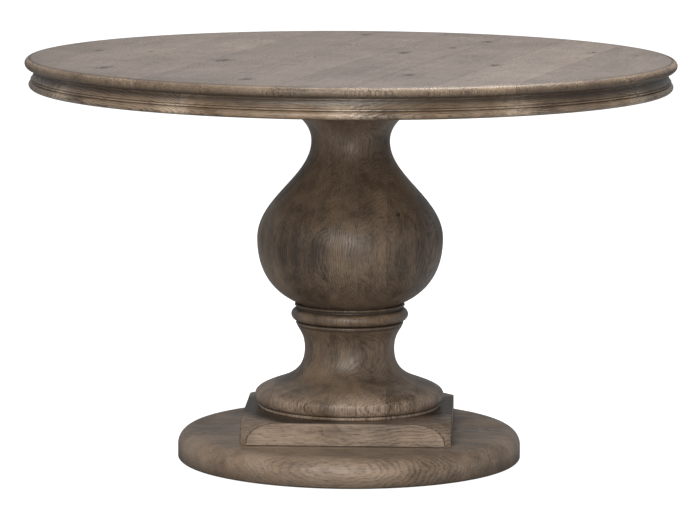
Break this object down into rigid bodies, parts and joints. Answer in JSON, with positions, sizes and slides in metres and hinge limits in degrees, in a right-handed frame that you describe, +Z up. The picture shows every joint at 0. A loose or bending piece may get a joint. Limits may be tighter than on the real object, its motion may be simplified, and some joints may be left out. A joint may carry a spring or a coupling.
{
  "type": "round pedestal table",
  "caption": "Round dining table: boarded top with a moulded edge, turned vase column, clipped square plinth and round base.",
  "frame": {"origin": "centre of the base on the floor", "axes": "+Z up, -Y the plinth's front face, +X to the right seen from the front"},
  "size_m": [1.2182, 1.2182, 0.762],
  "materials": {
    "top_oak": "satin lacquer over grey-washed oak",
    "edge_oak": "satin lacquer over greyed oak with dark glaze in the grooves",
    "column_oak": "satin lacquer over dark brown stained oak",
    "base_oak": "satin lacquer over greyed brown oak",
    "inner_oak": "unfinished planed oak",
    "zinc_steel": "bright zinc plate",
    "brass": "machined brass",
    "black_nylon": "moulded black nylon"
  },
  "bodies": {
    "table": {"top_board_1": "top_oak", "top_board_2": "top_oak", "top_board_3": "top_oak", "top_board_4": "top_oak", "top_board_5": "top_oak", "top_board_6": "top_oak", "top_board_7": "top_oak", "top_board_8": "top_oak", "top_board_9": "top_oak", "edge_segment_1": "edge_oak", "edge_segment_2": "edge_oak", "edge_segment_3": "edge_oak", "edge_segment_4": "edge_oak", "edge_segment_5": "edge_oak", "edge_segment_6": "edge_oak", "edge_segment_7": "edge_oak", "edge_segment_8": "edge_oak", "edge_segment_9": "edge_oak", "edge_segment_10": "edge_oak", "edge_segment_11": "edge_oak", "edge_segment_12": "edge_oak", "top_batten_1": "inner_oak", "top_batten_2": "inner_oak", "mounting_plate": "inner_oak", "batten_screw_1": "zinc_steel", "batten_screw_2": "zinc_steel", "batten_screw_3": "zinc_steel", "batten_screw_4": "zinc_steel", "batten_screw_5": "zinc_steel", "batten_screw_6": "zinc_steel", "plate_screw_1": "zinc_steel", "plate_screw_2": "zinc_steel", "plate_screw_3": "zinc_steel", "plate_screw_4": "zinc_steel", "column_vase": "column_oak", "column_collar": "column_oak", "column_foot": "column_oak", "plinth_board_1": "base_oak", "plinth_board_2": "base_oak", "plinth_board_3": "base_oak", "base_board_1": "base_oak", "base_board_2": "base_oak", "base_board_3": "base_oak", "base_board_4": "base_oak", "base_board_5": "base_oak", "tie_rod": "zinc_steel", "tie_rod_washer_top": "zinc_steel", "tie_rod_nut_top": "zinc_steel", "tie_rod_washer_bottom": "zinc_steel", "tie_rod_nut_bottom": "zinc_steel", "foot_insert_1": "brass", "foot_insert_2": "brass", "foot_insert_3": "brass", "foot_insert_4": "brass"},
    "foot_back_right": {"levelling_foot_1": "black_nylon"},
    "foot_back_left": {"levelling_foot_2": "black_nylon"},
    "foot_front_left": {"levelling_foot_3": "black_nylon"},
    "foot_front_right": {"levelling_foot_4": "black_nylon"}
  },
  "joints": [
    {"name": "level_back_right", "type": "slide", "parent": "table", "child": "foot_back_right", "axis": [0, 0, -1], "range_m": [0, 0.012]},
    {"name": "level_back_left", "type": "slide", "parent": "table", "child": "foot_back_left", "axis": [0, 0, -1], "range_m": [0, 0.012]},
    {"name": "level_front_left", "type": "slide", "parent": "table", "child": "foot_front_left", "axis": [0, 0, -1], "range_m": [0, 0.012]},
    {"name": "level_front_right", "type": "slide", "parent": "table", "child": "foot_front_right", "axis": [0, 0, -1], "range_m": [0, 0.012]}
  ]
}
